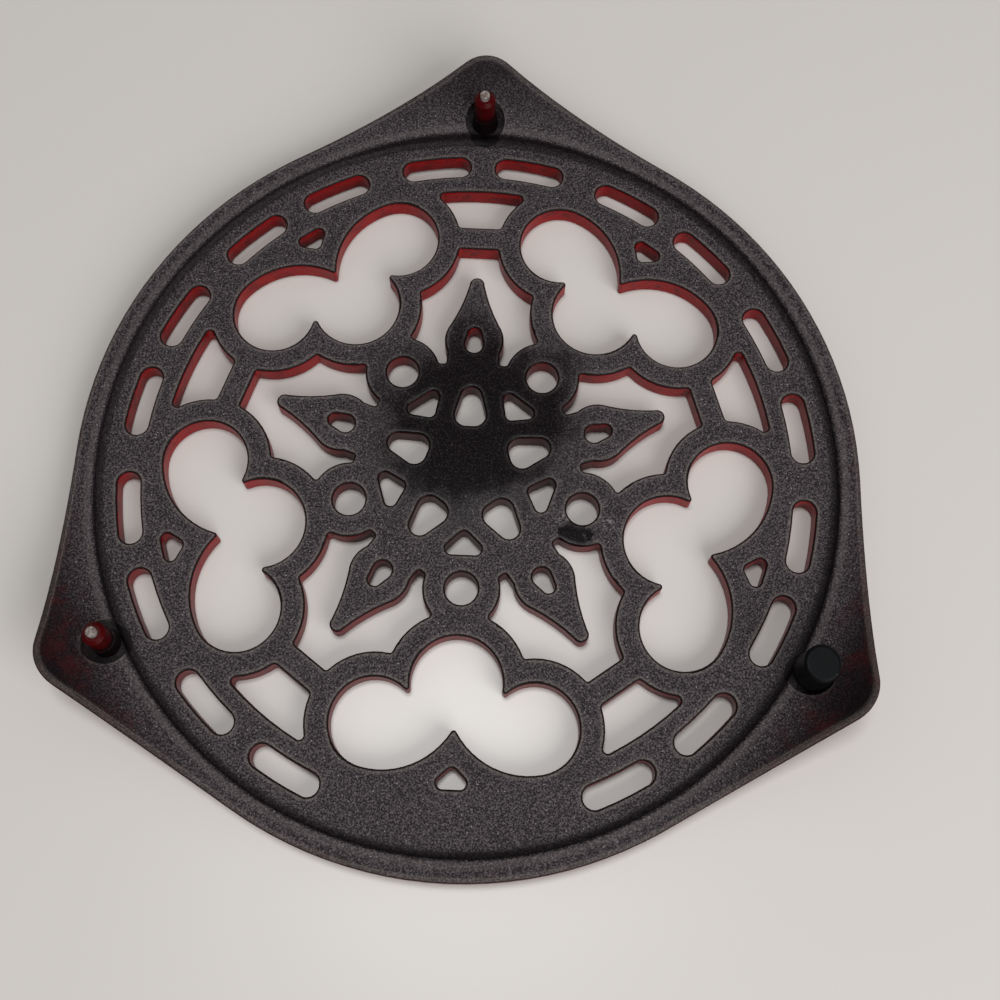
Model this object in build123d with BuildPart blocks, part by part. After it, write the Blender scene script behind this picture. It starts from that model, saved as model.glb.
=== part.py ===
from build123d import *
import math
import os

# Enamelled iron trivet, lying upside down: the pot face is on Z = 0 and the underside looks up.
# The origin is the centre of the pierced disc on the pot face. All sizes are millimetres.

# Thicknesses, measured up from the pot face
tracery_thickness = 7.6
rim_step = 2.6

# Openings on the five leaf axes, inside out
leaf_count = 5
first_leaf_angle = 90.0
hub_radius = 12.4
egg_length = 11.6
egg_half_width = 4.4
egg_inner_corner = 3.3
egg_outer_corner = 2.9
egg_to_drop = 10.7
drop_length = 7.6
drop_inner_radius = 2.55
drop_outer_radius = 1.8
drop_to_leaf_tip = 16.0
leaf_root_half_width = 7.7
leaf_bulb_radius = 8.6
leaf_shoulder_angle = 55.0
leaf_flank_radius = 50.0
leaf_tip_radius = 2.2
leaf_tip_gap = 9.2
window_root = 3.7
window_corner = 0.8
tracery_rib = 6.75
window_to_trapezoid = 7.1
trapezoid_depth = 11.9
trapezoid_corner = 1.2
slot_inner_web = 5.35
slot_width = 6.3
slot_length = 20.4
near_slot_angle = 8.51
far_slot_angle = 27.56
slot_outer_web = 5.85

# Openings on the five trefoil axes, which lie between the leaf axes
hub_to_triangle = 5.3
triangle_depth = 7.2
triangle_half_width = 7.5
triangle_corner_radius = 1.7
triangle_to_round = 4.9
round_hole_radius = 4.5
round_hole_wall = 6.25
round_to_trefoil = 8.4
inner_lobe_radius = 12.45
inner_lobe_trim = 7.0
outer_lobe_radius = 11.75
outer_lobe_angle = 62.8
lobe_overlap = 0.03
cusp_count = 3
cusp_step = 11.4
cusp_haunch_angle = 12.9
cusp_radius = 0.85
spandrel_depth = 5.9
spandrel_half_width = 6.4
spandrel_corner_radius = 1.6
spandrel_to_slot = 4.9

# Plain panel in the slot ring, opposite the first corner
panel_angle = 270.0
panel_half_angle = 12.0

# Rim, and the three corners that bend towards the feet
corner_count = 3
first_corner_angle = 90.0
rim_width = 6.0
peg_inset = 3.8
corner_offset = 3.6
corner_radius = 12.9
bend_lead_in = 12.4
bend_radius = 40.0
bend_angle = 44.0
step_root_fillet = 1.4
step_crest_fillet = 1.1
rim_edge_fillet = 1.0
pot_edge_fillet = 1.4
hole_edge_fillet = 0.75

# Pegs and the rubber foot
seat_radius = 6.0
seat_height = 11.7
peg_root_radius = 3.8
peg_collar_radius = 3.6
peg_collar_height = 17.6
peg_pin_radius = 3.1
peg_pin_length = 9.4
peg_nub_radius = 1.4
peg_nub_length = 2.2
peg_pin_chamfer = 1.0
peg_nub_fillet = 0.4
foot_angle = 330.0
foot_base_radius = 5.1
foot_top_radius = 4.8
foot_end_wall = 0.9
foot_top_fillet = 1.0
foot_bore_clearance = 0.06
foot_bore_end_clearance = 0.1

# Radii that follow along a leaf axis
drop_start = hub_radius + egg_length + egg_to_drop
leaf_tip = drop_start + drop_length + drop_to_leaf_tip
window_start = drop_start - window_root
window_end = leaf_tip + leaf_tip_gap
trapezoid_start = window_end + window_to_trapezoid
trapezoid_end = trapezoid_start + trapezoid_depth
slot_radius = trapezoid_end + slot_inner_web + slot_width / 2
disc_radius = slot_radius + slot_width / 2 + slot_outer_web
rim_radius = disc_radius + rim_width

# Radii that follow along a trefoil axis
axis_angle = 180.0 / leaf_count
triangle_start = hub_radius + hub_to_triangle
triangle_end = triangle_start + triangle_depth
round_hole_place = triangle_end + triangle_to_round + round_hole_radius
trefoil_start = round_hole_place + round_hole_radius + round_to_trefoil
inner_lobe_place = trefoil_start + inner_lobe_radius
lobe_turn = math.radians(outer_lobe_angle)
lobe_distance = inner_lobe_radius + outer_lobe_radius - lobe_overlap
outer_lobe_place = inner_lobe_place + lobe_distance * math.cos(lobe_turn)
outer_lobe_spread = lobe_distance * math.sin(lobe_turn)
cusp_place = inner_lobe_place + cusp_step
spandrel_end = slot_radius - slot_width / 2 - spandrel_to_slot
spandrel_start = spandrel_end - spandrel_depth

# Places round the rim
rim_thickness = tracery_thickness + rim_step
peg_place = disc_radius + peg_inset
corner_place = peg_place + corner_offset
bend_start = disc_radius - bend_lead_in
corner_reach = corner_place + corner_radius - bend_start
corner_half_span = rim_radius
cut_height = rim_thickness + bend_radius + corner_reach
peg_pin_top = peg_collar_height + peg_pin_length
peg_top = peg_pin_top + peg_nub_length
foot_bore_top = peg_top + foot_bore_end_clearance
foot_top = foot_bore_top + foot_end_wall
pick_margin = 0.01


# A point given along and beside an axis at this angle, seen from the leaf axis
def on_axis(radius, side, angle):
    turn = math.radians(angle)
    along = radius * math.cos(turn) - side * math.sin(turn)
    beside = radius * math.sin(turn) + side * math.cos(turn)
    return along, beside


# The openings of one leaf axis, drawn along X
with BuildSketch() as egg_hole:
    with Locations(
        (hub_radius + egg_inner_corner, egg_half_width - egg_inner_corner),
        (hub_radius + egg_inner_corner, egg_inner_corner - egg_half_width),
    ):
        Circle(egg_inner_corner)
    with Locations((hub_radius + egg_length - egg_outer_corner, 0)):
        Circle(egg_outer_corner)
    make_hull()

with BuildSketch() as drop_hole:
    with Locations((drop_start + drop_inner_radius, 0)):
        Circle(drop_inner_radius)
    with Locations((drop_start + drop_length - drop_outer_radius, 0)):
        Circle(drop_outer_radius)
    make_hull()

leaf_bulb_place = drop_start + drop_length / 2
leaf_shoulder = (
    leaf_bulb_place + leaf_bulb_radius * math.cos(math.radians(leaf_shoulder_angle)),
    leaf_bulb_radius * math.sin(math.radians(leaf_shoulder_angle)),
)
leaf_neck = (leaf_tip - leaf_tip_radius, leaf_tip_radius)

with BuildSketch() as leaf:
    with Locations((leaf_bulb_place, 0)):
        Circle(leaf_bulb_radius)
    with Locations((leaf_neck[0], 0)):
        Circle(leaf_tip_radius)
    with BuildLine():
        Line((leaf_bulb_place, 0), leaf_shoulder)
        RadiusArc(leaf_shoulder, leaf_neck, -leaf_flank_radius)
        Line(leaf_neck, (leaf_neck[0], 0))
        Line((leaf_neck[0], 0), (leaf_bulb_place, 0))
    make_face()
    mirror(about=Plane.XZ)
    with Locations(((hub_radius + leaf_bulb_place) / 2, 0)):
        Rectangle(leaf_bulb_place - hub_radius, 2 * leaf_root_half_width)

with BuildSketch() as leaf_window:
    Polygon(
        on_axis(round_hole_place, 0, -axis_angle),
        on_axis(inner_lobe_place, 0, -axis_angle),
        on_axis(outer_lobe_place, outer_lobe_spread, -axis_angle),
        on_axis(outer_lobe_place, -outer_lobe_spread, axis_angle),
        on_axis(inner_lobe_place, 0, axis_angle),
        on_axis(round_hole_place, 0, axis_angle),
        align=None,
    )
    with Locations(((window_start + window_end) / 2, 0)):
        Rectangle(window_end - window_start, 2 * inner_lobe_place, mode=Mode.INTERSECT)
    for side in (1, -1):
        with Locations(on_axis(round_hole_place, 0, side * axis_angle)):
            Circle(round_hole_radius + round_hole_wall, mode=Mode.SUBTRACT)
        with Locations(on_axis(inner_lobe_place, 0, side * axis_angle)):
            Circle(inner_lobe_radius + tracery_rib, mode=Mode.SUBTRACT)
        with Locations(on_axis(outer_lobe_place, -side * outer_lobe_spread, side * axis_angle)):
            Circle(outer_lobe_radius + tracery_rib, mode=Mode.SUBTRACT)
    add(leaf.sketch, mode=Mode.SUBTRACT)
    fillet(leaf_window.vertices(), window_corner)

with BuildSketch() as trapezoid:
    Circle(trapezoid_end)
    with Locations((trapezoid_start, 0)):
        Rectangle(
            2 * trapezoid_end,
            2 * outer_lobe_spread,
            align=(Align.MIN, Align.CENTER),
            mode=Mode.INTERSECT,
        )
    for side in (1, -1):
        with Locations(on_axis(outer_lobe_place, -side * outer_lobe_spread, side * axis_angle)):
            Circle(outer_lobe_radius + tracery_rib, mode=Mode.SUBTRACT)
    fillet(trapezoid.vertices(), trapezoid_corner)

# The openings of one trefoil axis, drawn along X
with BuildSketch() as small_triangle:
    Polygon(
        (triangle_start, 0),
        (triangle_end, -triangle_half_width),
        (triangle_end, triangle_half_width),
        align=None,
    )
    fillet(small_triangle.vertices(), triangle_corner_radius)

with BuildSketch() as spandrel_hole:
    Polygon(
        (spandrel_start, 0),
        (spandrel_end, -spandrel_half_width),
        (spandrel_end, spandrel_half_width),
        align=None,
    )
    fillet(spandrel_hole.vertices(), spandrel_corner_radius)

haunch_turn = math.radians(cusp_haunch_angle)
outer_lobe_centre = (outer_lobe_place, outer_lobe_spread)
haunch_start = (
    outer_lobe_place + outer_lobe_radius * math.cos(haunch_turn),
    outer_lobe_spread + outer_lobe_radius * math.sin(haunch_turn),
)
haunch_direction = (math.sin(haunch_turn), -math.cos(haunch_turn))

with BuildSketch() as trefoil:
    with Locations((inner_lobe_place, 0)):
        Circle(inner_lobe_radius)
    with Locations((inner_lobe_place + inner_lobe_trim, 0)):
        Rectangle(
            inner_lobe_radius + inner_lobe_trim,
            2 * inner_lobe_radius,
            align=(Align.MAX, Align.CENTER),
            mode=Mode.INTERSECT,
        )
    with Locations(outer_lobe_centre):
        Circle(outer_lobe_radius)
    with BuildLine():
        Line((inner_lobe_place, 0), outer_lobe_centre)
        Line(outer_lobe_centre, haunch_start)
        TangentArc(haunch_start, (cusp_place, 0), tangent=haunch_direction)
        Line((cusp_place, 0), (inner_lobe_place, 0))
    make_face()
    mirror(about=Plane.XZ)
    cusps = trefoil.vertices().sort_by(Axis.X)[:cusp_count]
    fillet(cusps, cusp_radius)

leaf_angles = [first_leaf_angle + turn * 2 * axis_angle for turn in range(leaf_count)]
slot_angles = [
    leaf_angle + side * slot_angle
    for leaf_angle in leaf_angles
    for slot_angle in (near_slot_angle, far_slot_angle)
    for side in (1, -1)
]
panel_gaps = [abs((angle - panel_angle + 180) % 360 - 180) for angle in slot_angles]
open_slot_angles = [angle for angle, gap in zip(slot_angles, panel_gaps) if gap > panel_half_angle]

with BuildSketch() as slot:
    half_sweep = math.degrees((slot_length - slot_width) / 2 / slot_radius)
    SlotArc(CenterArc((0, 0), slot_radius, -half_sweep, 2 * half_sweep, mode=Mode.PRIVATE), slot_width)

# All openings of the disc, turned to their axes
with BuildSketch() as openings:
    with PolarLocations(0, leaf_count, first_leaf_angle):
        add(egg_hole.sketch)
        add(drop_hole.sketch)
        add(leaf_window.sketch)
        add(trapezoid.sketch)
    with PolarLocations(0, leaf_count, first_leaf_angle + axis_angle):
        add(small_triangle.sketch)
        add(trefoil.sketch)
        add(spandrel_hole.sketch)
    with PolarLocations(round_hole_place, leaf_count, first_leaf_angle + axis_angle):
        Circle(round_hole_radius)
    for angle in open_slot_angles:
        with Locations(Location((0, 0, 0), (0, 0, angle))):
            add(slot.sketch)

# One peg on the Z axis: a tapered root, the pin that carries a foot, and a small bare nub
with BuildPart() as peg:
    with BuildSketch(Plane.XZ):
        with BuildLine():
            Polyline(
                (0, rim_thickness),
                (peg_root_radius, rim_thickness),
                (peg_root_radius, seat_height),
                (peg_collar_radius, peg_collar_height),
                (peg_pin_radius, peg_collar_height),
                (peg_pin_radius, peg_pin_top - peg_pin_chamfer),
                (peg_pin_radius - peg_pin_chamfer, peg_pin_top),
                (peg_nub_radius, peg_pin_top),
                (peg_nub_radius, peg_top),
                (0, peg_top),
                close=True,
            )
        make_face()
    revolve(axis=Axis.Z)
    fillet(peg.edges().group_by(Axis.Z)[-1], peg_nub_fillet)

with BuildPart() as casting:
    # Plan outline: the rim circle drawn together with a round end at each corner
    with BuildSketch():
        Circle(rim_radius)
        with PolarLocations(corner_place, corner_count, first_corner_angle):
            Circle(corner_radius)
        make_hull()
    extrude(amount=cut_height)
    corner_planes = []
    for turn in range(corner_count):
        outward = Vector(1, 0).rotate(Axis.Z, first_corner_angle + turn * 360 / corner_count)
        corner_planes.append(Plane((0, 0, 0), x_dir=outward, z_dir=outward.cross(Vector(0, 0, 1))))
    # Pot side: flat in the middle, with each corner curved up from its bend line
    for corner_plane in corner_planes:
        with BuildSketch(corner_plane):
            with BuildLine():
                under = JernArc((bend_start, 0), (1, 0), bend_radius + rim_thickness, bend_angle)
                under_end = Line(under @ 1, under @ 1 + (under % 1) * corner_reach)
                Line(under_end @ 1, ((under_end @ 1).X, 0))
                Line(((under_end @ 1).X, 0), (bend_start, 0))
            make_face()
        extrude(amount=corner_half_span, both=True, mode=Mode.SUBTRACT)
    pot_edges = casting.edges().filter_by(GeomType.LINE, reverse=True)
    fillet(pot_edges.filter_by_position(Axis.Z, -pick_margin, cut_height / 2), pot_edge_fillet)
    # Underside: the same bend, one rim thickness higher
    with BuildSketch(Plane.XY.offset(rim_thickness)):
        side_turn = first_corner_angle + 180 / corner_count
        RegularPolygon(bend_start, corner_count, major_radius=False, rotation=side_turn)
    extrude(amount=cut_height, mode=Mode.SUBTRACT)
    for corner_plane in corner_planes:
        with BuildSketch(corner_plane):
            with BuildLine():
                over = JernArc((bend_start, rim_thickness), (1, 0), bend_radius, bend_angle)
                over_end = Line(over @ 1, over @ 1 + (over % 1) * corner_reach)
                Line(over_end @ 1, ((over_end @ 1).X, cut_height))
                Line(((over_end @ 1).X, cut_height), (bend_start, cut_height))
                Line((bend_start, cut_height), (bend_start, rim_thickness))
            make_face()
        extrude(amount=corner_half_span, both=True, mode=Mode.SUBTRACT)
    rim_edges = casting.edges().filter_by(GeomType.LINE, reverse=True)
    rim_top = rim_thickness - pick_margin
    fillet(rim_edges.filter_by_position(Axis.Z, rim_top, cut_height), rim_edge_fillet)
    # The disc inside the rim is thinner, with a rounded step up to the rim
    with BuildSketch(Plane.XZ):
        with BuildLine():
            Line((0, tracery_thickness), (disc_radius - step_root_fillet, tracery_thickness))
            step_root = JernArc(
                (disc_radius - step_root_fillet, tracery_thickness), (1, 0), step_root_fillet, 90
            )
            Polyline(step_root @ 1, (disc_radius, cut_height), (0, cut_height), (0, tracery_thickness))
        make_face()
    revolve(axis=Axis.Z, mode=Mode.SUBTRACT)
    crest_edges = casting.edges(Select.LAST).filter_by(GeomType.LINE, reverse=True)
    fillet(crest_edges.filter_by_position(Axis.Z, rim_top, cut_height), step_crest_fillet)
    # A round seat and a peg at each corner
    with BuildSketch(Plane.XY.offset(seat_height)):
        with PolarLocations(peg_place, corner_count, first_corner_angle):
            Circle(seat_radius)
    extrude(amount=cut_height, mode=Mode.SUBTRACT)
    with PolarLocations(peg_place, corner_count, first_corner_angle):
        add(peg.part)
    # The tracery is cut right through, and its edges are rounded
    add(openings.sketch)
    extrude(amount=cut_height, mode=Mode.SUBTRACT)
    hole_edges = casting.edges(Select.LAST).filter_by(Axis.Z, reverse=True)
    fillet(hole_edges, hole_edge_fillet)

# The rubber foot is a cap with a blind bore, seated on the collar of its peg
foot_turn = math.radians(foot_angle)
foot_place = (peg_place * math.cos(foot_turn), peg_place * math.sin(foot_turn))
foot_bore_radius = peg_pin_radius + foot_bore_clearance

with BuildPart() as rubber_foot:
    with BuildSketch(Plane.XY.offset(peg_collar_height)):
        with Locations(foot_place):
            Circle(foot_base_radius)
    with BuildSketch(Plane.XY.offset(foot_top)):
        with Locations(foot_place):
            Circle(foot_top_radius)
    loft()
    fillet(rubber_foot.edges().group_by(Axis.Z)[-1], foot_top_fillet)
    with BuildSketch(Plane.XY.offset(peg_collar_height)):
        with Locations(foot_place):
            Circle(foot_bore_radius)
    extrude(amount=foot_bore_top - peg_collar_height, mode=Mode.SUBTRACT)

casting.part.label = "trivet_casting"
rubber_foot.part.label = "rubber_foot"
os.makedirs("parts", exist_ok=True)
export_step(casting.part, "parts/trivet_casting.step")
export_step(rubber_foot.part, "parts/rubber_foot.step")
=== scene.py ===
import bpy
import math
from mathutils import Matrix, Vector


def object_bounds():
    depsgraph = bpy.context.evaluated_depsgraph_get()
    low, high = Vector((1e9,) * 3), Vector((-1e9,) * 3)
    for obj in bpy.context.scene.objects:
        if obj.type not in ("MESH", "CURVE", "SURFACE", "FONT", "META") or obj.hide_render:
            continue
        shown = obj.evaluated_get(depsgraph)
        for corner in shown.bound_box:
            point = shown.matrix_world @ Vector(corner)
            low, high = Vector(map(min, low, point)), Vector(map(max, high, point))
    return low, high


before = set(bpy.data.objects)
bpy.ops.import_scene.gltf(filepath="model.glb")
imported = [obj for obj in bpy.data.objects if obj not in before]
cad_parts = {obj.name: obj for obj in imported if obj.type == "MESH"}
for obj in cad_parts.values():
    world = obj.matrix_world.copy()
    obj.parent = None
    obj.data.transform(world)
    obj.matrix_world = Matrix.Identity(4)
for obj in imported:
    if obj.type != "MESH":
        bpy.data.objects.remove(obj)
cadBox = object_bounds()
print("frame loaded:", sorted(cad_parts))

mm = 0.001
pegRing = 107.8 * mm                                # radius of the circle through the pegs
pegAngles = (90, 210, 330)


def placeOnRing(angle):
    turn = math.radians(angle)
    return Vector((pegRing * math.cos(turn), pegRing * math.sin(turn), 0))


pegPlaces = [placeOnRing(angle) for angle in pegAngles]


# small helpers for the node trees
def newMaterial(name):
    material = bpy.data.materials.new(name)
    material.use_nodes = True
    tree = material.node_tree
    tree.nodes.clear()
    output = tree.nodes.new("ShaderNodeOutputMaterial")
    shader = tree.nodes.new("ShaderNodeBsdfPrincipled")
    tree.links.new(shader.outputs["BSDF"], output.inputs["Surface"])
    return material, tree, shader


def plug(tree, value, socket):
    if isinstance(value, bpy.types.NodeSocket):
        tree.links.new(value, socket)
    else:
        socket.default_value = value


def calc(tree, operation, a, b=0.0, clamp=False):
    node = tree.nodes.new("ShaderNodeMath")
    node.operation = operation
    node.use_clamp = clamp
    plug(tree, a, node.inputs[0])
    plug(tree, b, node.inputs[1])
    return node.outputs[0]


def times(tree, a, b):
    return calc(tree, "MULTIPLY", a, b)


def opposite(tree, value):                          # 0 turns to 1 and 1 to 0
    return calc(tree, "SUBTRACT", 1.0, value)


def fade(tree, value, low, high):                   # 0 at low, 1 at high, smooth between
    node = tree.nodes.new("ShaderNodeMapRange")
    node.interpolation_type = "SMOOTHSTEP"
    plug(tree, value, node.inputs["Value"])
    plug(tree, low, node.inputs["From Min"])
    plug(tree, high, node.inputs["From Max"])
    return node.outputs["Result"]


def band(tree, value, turns):                       # 1 between the two middle turns, 0 past the outer ones
    rise = fade(tree, value, turns[0], turns[1])
    fall = fade(tree, value, turns[3], turns[2])
    return times(tree, rise, fall)


def mixColors(tree, amount, first, second):
    node = tree.nodes.new("ShaderNodeMix")
    node.data_type = "RGBA"
    plug(tree, amount, node.inputs[0])
    plug(tree, first, node.inputs[6])
    plug(tree, second, node.inputs[7])
    return node.outputs[2]


def mixValues(tree, amount, first, second):
    node = tree.nodes.new("ShaderNodeMix")
    plug(tree, amount, node.inputs[0])
    plug(tree, first, node.inputs[2])
    plug(tree, second, node.inputs[3])
    return node.outputs[0]


def cloud(tree, place, size, detail=2.0, roughness=0.5):    # noise with lumps about this many metres wide
    node = tree.nodes.new("ShaderNodeTexNoise")
    plug(tree, place, node.inputs["Vector"])
    node.inputs["Scale"].default_value = 1 / size
    node.inputs["Detail"].default_value = detail
    node.inputs["Roughness"].default_value = roughness
    return node.outputs["Fac"]


def wobble(tree, place, size, detail, roughness=0.5):       # the same noise, either side of 0
    return calc(tree, "SUBTRACT", cloud(tree, place, size, detail, roughness), 0.5)


def grains(tree, place, size):                      # cells about this many metres wide
    node = tree.nodes.new("ShaderNodeTexVoronoi")
    plug(tree, place, node.inputs["Vector"])
    node.inputs["Scale"].default_value = 1 / size
    return node.outputs["Distance"], node.outputs["Color"]


def specks(tree, place, size, share, reach):        # round specks in the given share of the cells
    cell, cellColor = grains(tree, place, size)
    chosen = calc(tree, "GREATER_THAN", parts(tree, cellColor)[1], 1 - share)
    return times(tree, chosen, fade(tree, cell, *reach))


def bump(tree, height, strength, distance):
    node = tree.nodes.new("ShaderNodeBump")
    plug(tree, height, node.inputs["Height"])
    plug(tree, strength, node.inputs["Strength"])
    node.inputs["Distance"].default_value = distance
    return node.outputs["Normal"]


def parts(tree, vector):                            # the three values of a place, normal or colour
    node = tree.nodes.new("ShaderNodeSeparateXYZ")
    tree.links.new(vector, node.inputs[0])
    return node.outputs[0], node.outputs[1], node.outputs[2]


def vectorCalc(tree, operation, a, b):
    node = tree.nodes.new("ShaderNodeVectorMath")
    node.operation = operation
    plug(tree, a, node.inputs[0])
    plug(tree, b, node.inputs[1])
    return node


def distanceTo(tree, place, point):
    return vectorCalc(tree, "DISTANCE", place, point).outputs["Value"]


def edgeNearby(tree, normal, reach, turn):          # 1 where the surface bends within this reach
    softNormal = tree.nodes.new("ShaderNodeBevel")
    softNormal.samples = 8
    softNormal.inputs["Radius"].default_value = reach
    alike = vectorCalc(tree, "DOT_PRODUCT", softNormal.outputs[0], normal)
    return fade(tree, alike.outputs["Value"], *turn)


def rgb(red, green, blue):                          # screen colour, 0 to 255, to a shader colour
    def linear(value):
        share = value / 255
        return share / 12.92 if share <= 0.04045 else ((share + 0.055) / 1.055) ** 2.4
    return (linear(red), linear(green), linear(blue), 1.0)


# enamelled casting: matt black underside, glossy red walls and pot side
enamelLook = {
    "shine": 0.08,
    "softEdge": 1.0 * mm,                           # width of the plain fades from place to place
    "raggedSize": 1.3 * mm,
    "raggedTurn": 0.6,
    "raggedHeight": 5 * mm,
    "black": rgb(50, 45, 48),
    "blackRoughness": 0.5,
    "grainSize": 0.5 * mm,
    "grainLight": rgb(95, 88, 91),
    "grainLightTurn": (0.5, 0.6),
    "grainDark": rgb(16, 12, 14),
    "grainDarkTurn": (0.5, 0.41),
    "grainAmount": 0.8,
    "sparkle": rgb(140, 134, 135),
    "sparkleSize": 0.7 * mm,
    "sparkleShare": 0.06,
    "sparkleReach": (0.3, 0.15),
    "mottle": rgb(34, 29, 32),                      # broad, faint darker clouds
    "mottleSize": 6 * mm,
    "mottleTurn": (0.42, 0.68),
    "mottleAmount": 0.45,
    "shoulderSheen": rgb(106, 98, 94),                   # paler round every edge: partly thin enamel, partly a painted sheen
    "shoulderReach": 2.0 * mm,
    "shoulderTurn": (0.9995, 0.985),
    "shoulderAmount": 0.62,
    "shoulderGrainTurn": (0.4, 0.6),
    "shoulderGrain": (0.55, 1.1),
    "shoulderRoughness": 0.3,
    "edgeShade": rgb(9, 5, 7),                      # painted shade where an edge turns down into a wall
    "edgeFacing": (0.985, 0.9),                     # normal height where that painted shade starts and is full
    "rimFacing": (0.82, 0.6),                       # the same on the outside of the rim
    "edgeAmount": 0.9,
    "openingsEnd": 100 * mm,
    "patchBlack": rgb(7, 4, 5),                     # smoother, darker enamel in the middle
    "patchPlace": (2 * mm, 15 * mm, 0),
    "patchReach": (42 * mm, 18 * mm),
    "patchLump": 16 * mm,
    "patchLean": 34 * mm,
    "patchAmount": 0.92,
    "patchRoughness": 0.12,
    "patchWithoutGrit": 0.85,
    "cornerShade": rgb(15, 7, 9),                   # painted shade: the bent corners are darker, most of all the lower two
    "cornerStart": (105 * mm, 117 * mm),
    "cornerAmount": (0.5, 0.82),
    "cornerRoughness": 0.6,
    "lowerHalf": (60 * mm, 0),
    "spray": rgb(74, 20, 24),                       # thin red-brown overspray
    "spraySize": 6.0 * mm,
    "sprayTurn": (0.42, 0.72),
    "sprayAmount": 0.42,
    "chipPlace": (31 * mm, -17.5 * mm, 0),          # worn glassy spot beside a round hole
    "chipReach": (6.5 * mm, 3.0 * mm),
    "chipLump": 4 * mm,
    "chipLean": 12 * mm,
    "scuff": rgb(122, 116, 114),
    "scuffPlaces": [(27.5 * mm, -13 * mm, 0), (40 * mm, -14.5 * mm, 0)],
    "scuffReach": 3.2 * mm,
    "scuffSize": 1.1 * mm,
    "scuffTurn": (0.5, 0.62),
    "stepBand": (101.0 * mm, 106.5 * mm),           # the step and its crest stay black
    "grooveShade": rgb(17, 12, 15),                      # painted shade along the step's groove
    "grooveBand": (101.4 * mm, 102.8 * mm, 104.0 * mm, 104.7 * mm),
    "grooveAmount": 0.75,
    # the crest is painted paler, a painted highlight
    "crestBand": (104.5 * mm, 105.1 * mm, 106.0 * mm, 107.2 * mm),
    "crestAmount": 0.2,
    "red": rgb(130, 0, 4),
    "redRoughness": 0.34,
    "redDeep": rgb(40, 4, 6),                       # where the red runs thin, and in a few pools
    "edgeTurn": (0.36, 0.6),                        # normal height where red gives way to black
    "thinStart": 0.05,
    "potSideTurn": (-0.05, -0.25),
    "poolSize": 3.5 * mm,
    "poolTurn": (0.48, 0.7),
    "poolAmount": 0.5,
    "lowerRedShade": rgb(94, 1, 5),                      # painted shade: the red is darker towards the bottom
    "lowerRedAlong": (-5 * mm, -65 * mm),
    "middleRedShade": rgb(50, 2, 6),                     # and painted darkest near the middle, painted shade
    "middleReach": (26 * mm, 54 * mm),
    "outerRed": rgb(58, 6, 9),                      # the outside of the rim is nearly black
    "outerStart": (107 * mm, 108.5 * mm),
    "pegRadius": 4.0 * mm,
    # the peg's red is a darker copy of the red, painted shade
    "pegShadedRed": rgb(60, 0, 2),
    "pegRoot": rgb(9, 3, 4),
    "pegCoat": (17.0 * mm, 22.0 * mm),              # the peg turns dark towards its root
    "pegRoughness": 0.38,
    "bareTip": rgb(138, 133, 128),
    "tipHeight": 27.05 * mm,
    "tipLump": 1.0 * mm,
    "tipTurn": (0.35, 0.6),
    "tipAmount": (0.3, 1.0),
    "tipRoughness": 0.6,
    "seatShade": rgb(12, 8, 9),                     # painted shade in the shallow seat round each peg
    "seatAmount": (0.95, 0.75),                     # in the step, and out on the rim
    # a painted highlight round the rim of each seat
    "seatRimHighlight": rgb(96, 88, 84),
    "seatRimAmount": 0.4,
    "seatRimLump": 3 * mm,
    "seatRimTurn": (0.4, 0.6),
    "seatEdge": (5.7 * mm, 6.0 * mm, 6.9 * mm),
    "rimStart": (104 * mm, 106 * mm),
    "beadSize": 1.1 * mm,                           # the glossy red is slightly beaded
    "beadHeight": 2.0,
    "beadStrength": 0.3,
    "gritStrength": 0.6,
    "reliefDepth": 0.15 * mm,
}


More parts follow.
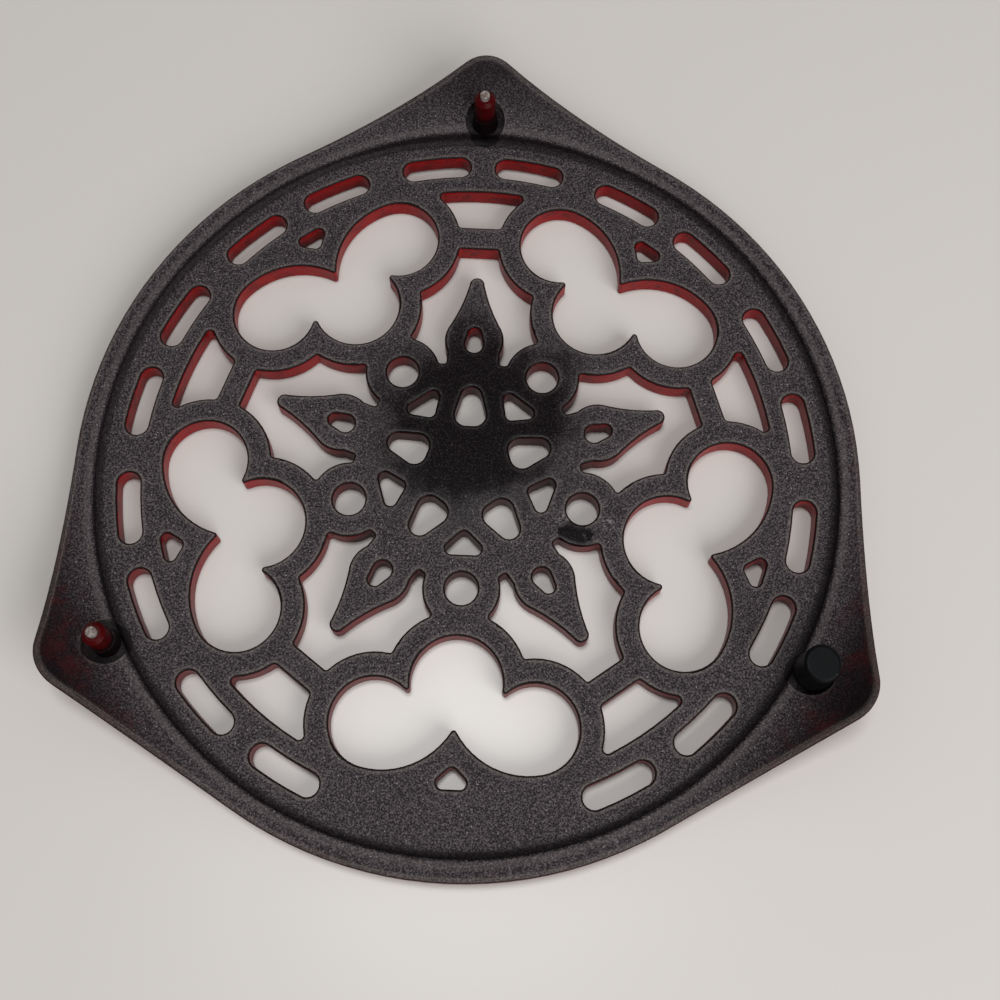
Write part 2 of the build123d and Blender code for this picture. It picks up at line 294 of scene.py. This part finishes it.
def enamel(look):
    material, tree, shader = newMaterial("enamel_on_iron")
    coords = tree.nodes.new("ShaderNodeTexCoord").outputs["Object"]
    along, height = parts(tree, coords)[1:]
    plan = vectorCalc(tree, "MULTIPLY", coords, (1, 1, 0)).outputs[0]
    normal = tree.nodes.new("ShaderNodeNewGeometry").outputs["Normal"]
    facing = parts(tree, normal)[2]
    radius = distanceTo(tree, plan, (0, 0, 0))
    ragged = wobble(tree, coords, look["raggedSize"], 2)
    softEdge = look["softEdge"]

    # the pegs and the seats round them
    pegGaps = [distanceTo(tree, plan, place) for place in pegPlaces]
    pegGap = calc(tree, "MINIMUM", calc(tree, "MINIMUM", pegGaps[0], pegGaps[1]), pegGaps[2])
    onPeg = calc(tree, "LESS_THAN", pegGap, look["pegRadius"])
    seatIn, seatOut, seatEnd = look["seatEdge"]
    inSeat = fade(tree, pegGap, seatOut, seatIn)
    offPeg = opposite(tree, fade(tree, pegGap, seatEnd + softEdge, seatEnd))

    # where the red coat lies
    unevenFacing = calc(tree, "ADD", facing, times(tree, ragged, look["raggedTurn"]))
    low, high = look["edgeTurn"]
    inner, outer = look["stepBand"]
    pastInner = fade(tree, radius, inner, inner + softEdge)
    pastOuter = fade(tree, radius, outer, outer + softEdge)
    offStep = opposite(tree, calc(tree, "SUBTRACT", pastInner, pastOuter))
    offBoth = times(tree, offStep, offPeg)
    wall = times(tree, fade(tree, unevenFacing, high, low), offBoth)
    potSide = fade(tree, facing, *look["potSideTurn"])
    redCoat = calc(tree, "MAXIMUM", wall, potSide, clamp=True)

    # smooth places in the black enamel
    patchLean = times(tree, wobble(tree, coords, look["patchLump"], 3, 0.6), look["patchLean"])
    patchGap = calc(tree, "ADD", distanceTo(tree, plan, look["patchPlace"]), patchLean)
    patch = fade(tree, patchGap, *look["patchReach"])
    chipLean = times(tree, wobble(tree, coords, look["chipLump"], 3), look["chipLean"])
    chipGap = calc(tree, "ADD", distanceTo(tree, plan, look["chipPlace"]), chipLean)
    chip = fade(tree, chipGap, *look["chipReach"])
    smooth = calc(tree, "MAXIMUM", patch, chip)
    gritty = opposite(tree, times(tree, smooth, look["patchWithoutGrit"]))

    # black enamel with a fine gritty grain and a few bright grains
    grit = cloud(tree, coords, look["grainSize"], 3, 0.75)
    mottle = fade(tree, cloud(tree, coords, look["mottleSize"], 4, 0.65), *look["mottleTurn"])
    black = mixColors(tree, times(tree, mottle, look["mottleAmount"]), look["black"], look["mottle"])
    black = mixColors(tree, times(tree, smooth, look["patchAmount"]), black, look["patchBlack"])
    darkGrain = times(tree, fade(tree, grit, *look["grainDarkTurn"]), look["grainAmount"])
    black = mixColors(tree, times(tree, darkGrain, gritty), black, look["grainDark"])
    lightGrain = times(tree, fade(tree, grit, *look["grainLightTurn"]), look["grainAmount"])
    black = mixColors(tree, times(tree, lightGrain, gritty), black, look["grainLight"])
    sparkle = specks(tree, coords, look["sparkleSize"], look["sparkleShare"], look["sparkleReach"])
    black = mixColors(tree, times(tree, sparkle, gritty), black, look["sparkle"])

    # the step: painted shade along the groove and a painted highlight on the crest
    grooveShade = times(tree, band(tree, radius, look["grooveBand"]), look["grooveAmount"])
    black = mixColors(tree, grooveShade, black, look["grooveShade"])
    crestHighlight = times(tree, band(tree, radius, look["crestBand"]), look["crestAmount"])
    black = mixColors(tree, crestHighlight, black, look["shoulderSheen"])

    # painted shade on the corners, with overspray on the two lower ones
    corner = fade(tree, radius, *look["cornerStart"])
    lower = fade(tree, along, *look["lowerHalf"])
    darker = times(tree, corner, mixValues(tree, lower, *look["cornerAmount"]))
    black = mixColors(tree, darker, black, look["cornerShade"])
    spray = fade(tree, cloud(tree, coords, look["spraySize"], 5, 0.7), *look["sprayTurn"])
    spray = times(tree, spray, times(tree, corner, lower))
    black = mixColors(tree, times(tree, spray, look["sprayAmount"]), black, look["spray"])

    # scuffs beside the worn spot
    scratch = fade(tree, cloud(tree, coords, look["scuffSize"], 4, 0.7), *look["scuffTurn"])
    for place in look["scuffPlaces"]:
        nearScuff = fade(tree, distanceTo(tree, plan, place), look["scuffReach"], 0)
        black = mixColors(tree, times(tree, nearScuff, scratch), black, look["scuff"])

    # paler shoulders, partly thin enamel and partly painted sheen, and a painted shade line along the edges
    shoulderSheen = times(tree, edgeNearby(tree, normal, look["shoulderReach"], look["shoulderTurn"]), offBoth)
    shoulderGrain = mixValues(tree, fade(tree, grit, *look["shoulderGrainTurn"]), *look["shoulderGrain"])
    paler = times(tree, times(tree, shoulderSheen, look["shoulderAmount"]), shoulderGrain)
    black = mixColors(tree, times(tree, paler, gritty), black, look["shoulderSheen"])
    inOpenings = fade(tree, radius, look["openingsEnd"] + softEdge, look["openingsEnd"])
    rimLine = fade(tree, facing, *look["rimFacing"])
    openingLine = fade(tree, facing, *look["edgeFacing"])
    edgeShadeLine = times(tree, mixValues(tree, inOpenings, rimLine, openingLine), offBoth)
    black = mixColors(tree, times(tree, edgeShadeLine, look["edgeAmount"]), black, look["edgeShade"])

    # the red glaze runs thin and dark at its edge
    thin = fade(tree, unevenFacing, look["thinStart"], high)
    pooled = fade(tree, cloud(tree, coords, look["poolSize"], 3), *look["poolTurn"])
    pooled = times(tree, pooled, look["poolAmount"])
    # painted shade: the red is darker towards the bottom and in the middle
    red = mixColors(tree, fade(tree, along, *look["lowerRedAlong"]), look["red"], look["lowerRedShade"])
    red = mixColors(tree, fade(tree, radius, *look["middleReach"]), look["middleRedShade"], red)
    red = mixColors(tree, potSide, red, look["red"])
    red = mixColors(tree, calc(tree, "MAXIMUM", thin, pooled), red, look["redDeep"])
    outside = times(tree, fade(tree, radius, *look["outerStart"]), opposite(tree, potSide))
    red = mixColors(tree, outside, red, look["outerRed"])
    color = mixColors(tree, redCoat, black, red)

    # painted shade in the seats, with a painted highlight on their rim
    onRim = fade(tree, radius, *look["rimStart"])
    seatRimHighlight = times(tree, fade(tree, pegGap, seatEnd, seatOut), opposite(tree, inSeat))
    rimLump = fade(tree, cloud(tree, coords, look["seatRimLump"], 3), *look["seatRimTurn"])
    seatRimHighlight = times(tree, times(tree, seatRimHighlight, rimLump), onRim)
    color = mixColors(tree, times(tree, seatRimHighlight, look["seatRimAmount"]), color, look["seatRimHighlight"])
    seatShadeTone = times(tree, inSeat, mixValues(tree, onRim, *look["seatAmount"]))
    color = mixColors(tree, seatShadeTone, color, look["seatShade"])

    # pegs: red above in a darker red that is painted shade, dark at the root, bare at the very tip
    unevenHeight = calc(tree, "ADD", height, times(tree, ragged, look["raggedHeight"]))
    pegCoat = fade(tree, unevenHeight, *look["pegCoat"])
    color = mixColors(tree, onPeg, color, mixColors(tree, pegCoat, look["pegRoot"], look["pegShadedRed"]))
    tip = times(tree, onPeg, calc(tree, "GREATER_THAN", height, look["tipHeight"]))
    tipLump = fade(tree, cloud(tree, coords, look["tipLump"], 3, 0.6), *look["tipTurn"])
    tipTone = times(tree, tip, mixValues(tree, tipLump, *look["tipAmount"]))
    color = mixColors(tree, tipTone, color, look["bareTip"])
    tree.links.new(color, shader.inputs["Base Color"])

    # gloss
    gloss = calc(tree, "MAXIMUM", redCoat, onPeg)
    roughness = mixValues(tree, smooth, look["blackRoughness"], look["patchRoughness"])
    roughness = mixValues(tree, shoulderSheen, roughness, look["shoulderRoughness"])
    roughness = mixValues(tree, corner, roughness, look["cornerRoughness"])
    roughness = mixValues(tree, gloss, roughness, look["redRoughness"])
    roughness = mixValues(tree, onPeg, roughness, look["pegRoughness"])
    roughness = mixValues(tree, tip, roughness, look["tipRoughness"])
    tree.links.new(roughness, shader.inputs["Roughness"])
    shader.inputs["Specular IOR Level"].default_value = look["shine"]

    # grit on the black, soft beads on the red
    beads = times(tree, cloud(tree, coords, look["beadSize"], 2), look["beadHeight"])
    relief = mixValues(tree, gloss, grit, beads)
    gritStrength = times(tree, gritty, look["gritStrength"])
    strength = mixValues(tree, gloss, gritStrength, look["beadStrength"])
    tree.links.new(bump(tree, relief, strength, look["reliefDepth"]), shader.inputs["Normal"])
    return material


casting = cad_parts["trivet_casting"]
casting.data.materials.clear()
casting.data.materials.append(enamel(enamelLook))
print("enamel on the casting")


# rubber foot: satin black, a little dusty on its end
rubberLook = {
    "black": rgb(5, 6, 7),
    "endGrey": rgb(6, 9, 12),
    "endHeight": (29.8 * mm, 30.15 * mm),
    "dust": rgb(170, 172, 172),
    "dustSize": 0.9 * mm,
    "dustShare": 0.035,
    "dustReach": (0.35, 0.2),
    "dustAmount": 0.7,
    "scuffSize": 3 * mm,
    "scuffTurn": (0.3, 0.75),
    "scuffStrength": 0.25,
    "scuffDepth": 0.15 * mm,
    "roughness": (0.32, 0.57),
    "shine": 0.08,
}


def rubber(look):
    material, tree, shader = newMaterial("foot_rubber")
    coords = tree.nodes.new("ShaderNodeTexCoord").outputs["Object"]
    end = fade(tree, parts(tree, coords)[2], *look["endHeight"])
    scuff = cloud(tree, coords, look["scuffSize"], 4, 0.65)
    endScuff = times(tree, end, fade(tree, scuff, *look["scuffTurn"]))
    color = mixColors(tree, endScuff, look["black"], look["endGrey"])
    dust = specks(tree, coords, look["dustSize"], look["dustShare"], look["dustReach"])
    endDust = times(tree, times(tree, dust, end), look["dustAmount"])
    color = mixColors(tree, endDust, color, look["dust"])
    tree.links.new(color, shader.inputs["Base Color"])
    tree.links.new(mixValues(tree, scuff, *look["roughness"]), shader.inputs["Roughness"])
    shader.inputs["Specular IOR Level"].default_value = look["shine"]
    relief = bump(tree, scuff, look["scuffStrength"], look["scuffDepth"])
    tree.links.new(relief, shader.inputs["Normal"])
    return material


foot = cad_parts["rubber_foot"]
foot.data.materials.clear()
foot.data.materials.append(rubber(rubberLook))
print("rubber on the foot")


# plain pale counter, lightly polished
floorLook = {
    "pale": rgb(199, 195, 191),
    "roughness": 0.3,
    "shine": 0.3,
    "reach": 3.0,
}


def paleFloor(look):
    reach = look["reach"]
    corners = [(-reach, -reach, 0), (reach, -reach, 0), (reach, reach, 0), (-reach, reach, 0)]
    mesh = bpy.data.meshes.new("pale_floor")
    mesh.from_pydata(corners, [], [(0, 1, 2, 3)])
    floor = bpy.data.objects.new("pale_floor", mesh)
    bpy.context.scene.collection.objects.link(floor)
    floor.location.z = cadBox[0][2]
    material, tree, shader = newMaterial("polished_pale_stone")
    shader.inputs["Base Color"].default_value = look["pale"]
    shader.inputs["Roughness"].default_value = look["roughness"]
    shader.inputs["Specular IOR Level"].default_value = look["shine"]
    mesh.materials.append(material)


paleFloor(floorLook)
print("floor laid")


# soft studio light: one panel overhead, a wide one in front and an even surround
lightSet = {
    "surround": 0.3,
    "surroundTint": (1.0, 0.985, 0.97, 1.0),
    "panels": [
        {"name": "overhead_panel", "place": (-0.043, 0.064, 1.50), "size": 0.28, "power": 8.0},
        {"name": "front_panel", "place": (0.66, -0.8, 0.85), "size": 1.0, "power": 13.5},
    ],
}


def lightRoom(look):
    world = bpy.data.worlds.new("soft_surround")
    bpy.context.scene.world = world
    world.use_nodes = True
    background = world.node_tree.nodes["Background"]
    background.inputs["Color"].default_value = look["surroundTint"]
    background.inputs["Strength"].default_value = look["surround"]
    for panel in look["panels"]:
        lamp = bpy.data.lights.new(panel["name"], "AREA")
        lamp.shape = "SQUARE"
        lamp.size = panel["size"]
        lamp.energy = panel["power"]
        holder = bpy.data.objects.new(panel["name"], lamp)
        bpy.context.scene.collection.objects.link(holder)
        holder.location = panel["place"]
        towardsPart = -Vector(panel["place"])
        holder.rotation_euler = towardsPart.to_track_quat("-Z", "Y").to_euler()


lightRoom(lightSet)
print("lights set")


# camera above the near edge, as the photograph was taken
cameraSet = {
    "place": (11.7 * mm, -115.3 * mm, 406.3 * mm),
    "turn": (21.405, -0.339, 2.442),                # degrees about X, Y and Z
    "lens": 52.85,
    "sensor": 36.0,
    "shiftDown": 0.167,
    "nearest": 10 * mm,
}


def placeCamera(look):
    data = bpy.data.cameras.new("photo_camera")
    data.lens = look["lens"]
    data.sensor_width = look["sensor"]
    data.shift_y = -look["shiftDown"]
    data.clip_start = look["nearest"]
    camera = bpy.data.objects.new("photo_camera", data)
    bpy.context.scene.collection.objects.link(camera)
    camera.location = look["place"]
    camera.rotation_euler = [math.radians(angle) for angle in look["turn"]]
    bpy.context.scene.camera = camera


placeCamera(cameraSet)
bpy.context.scene.view_settings.view_transform = "Standard"
print("camera placed")
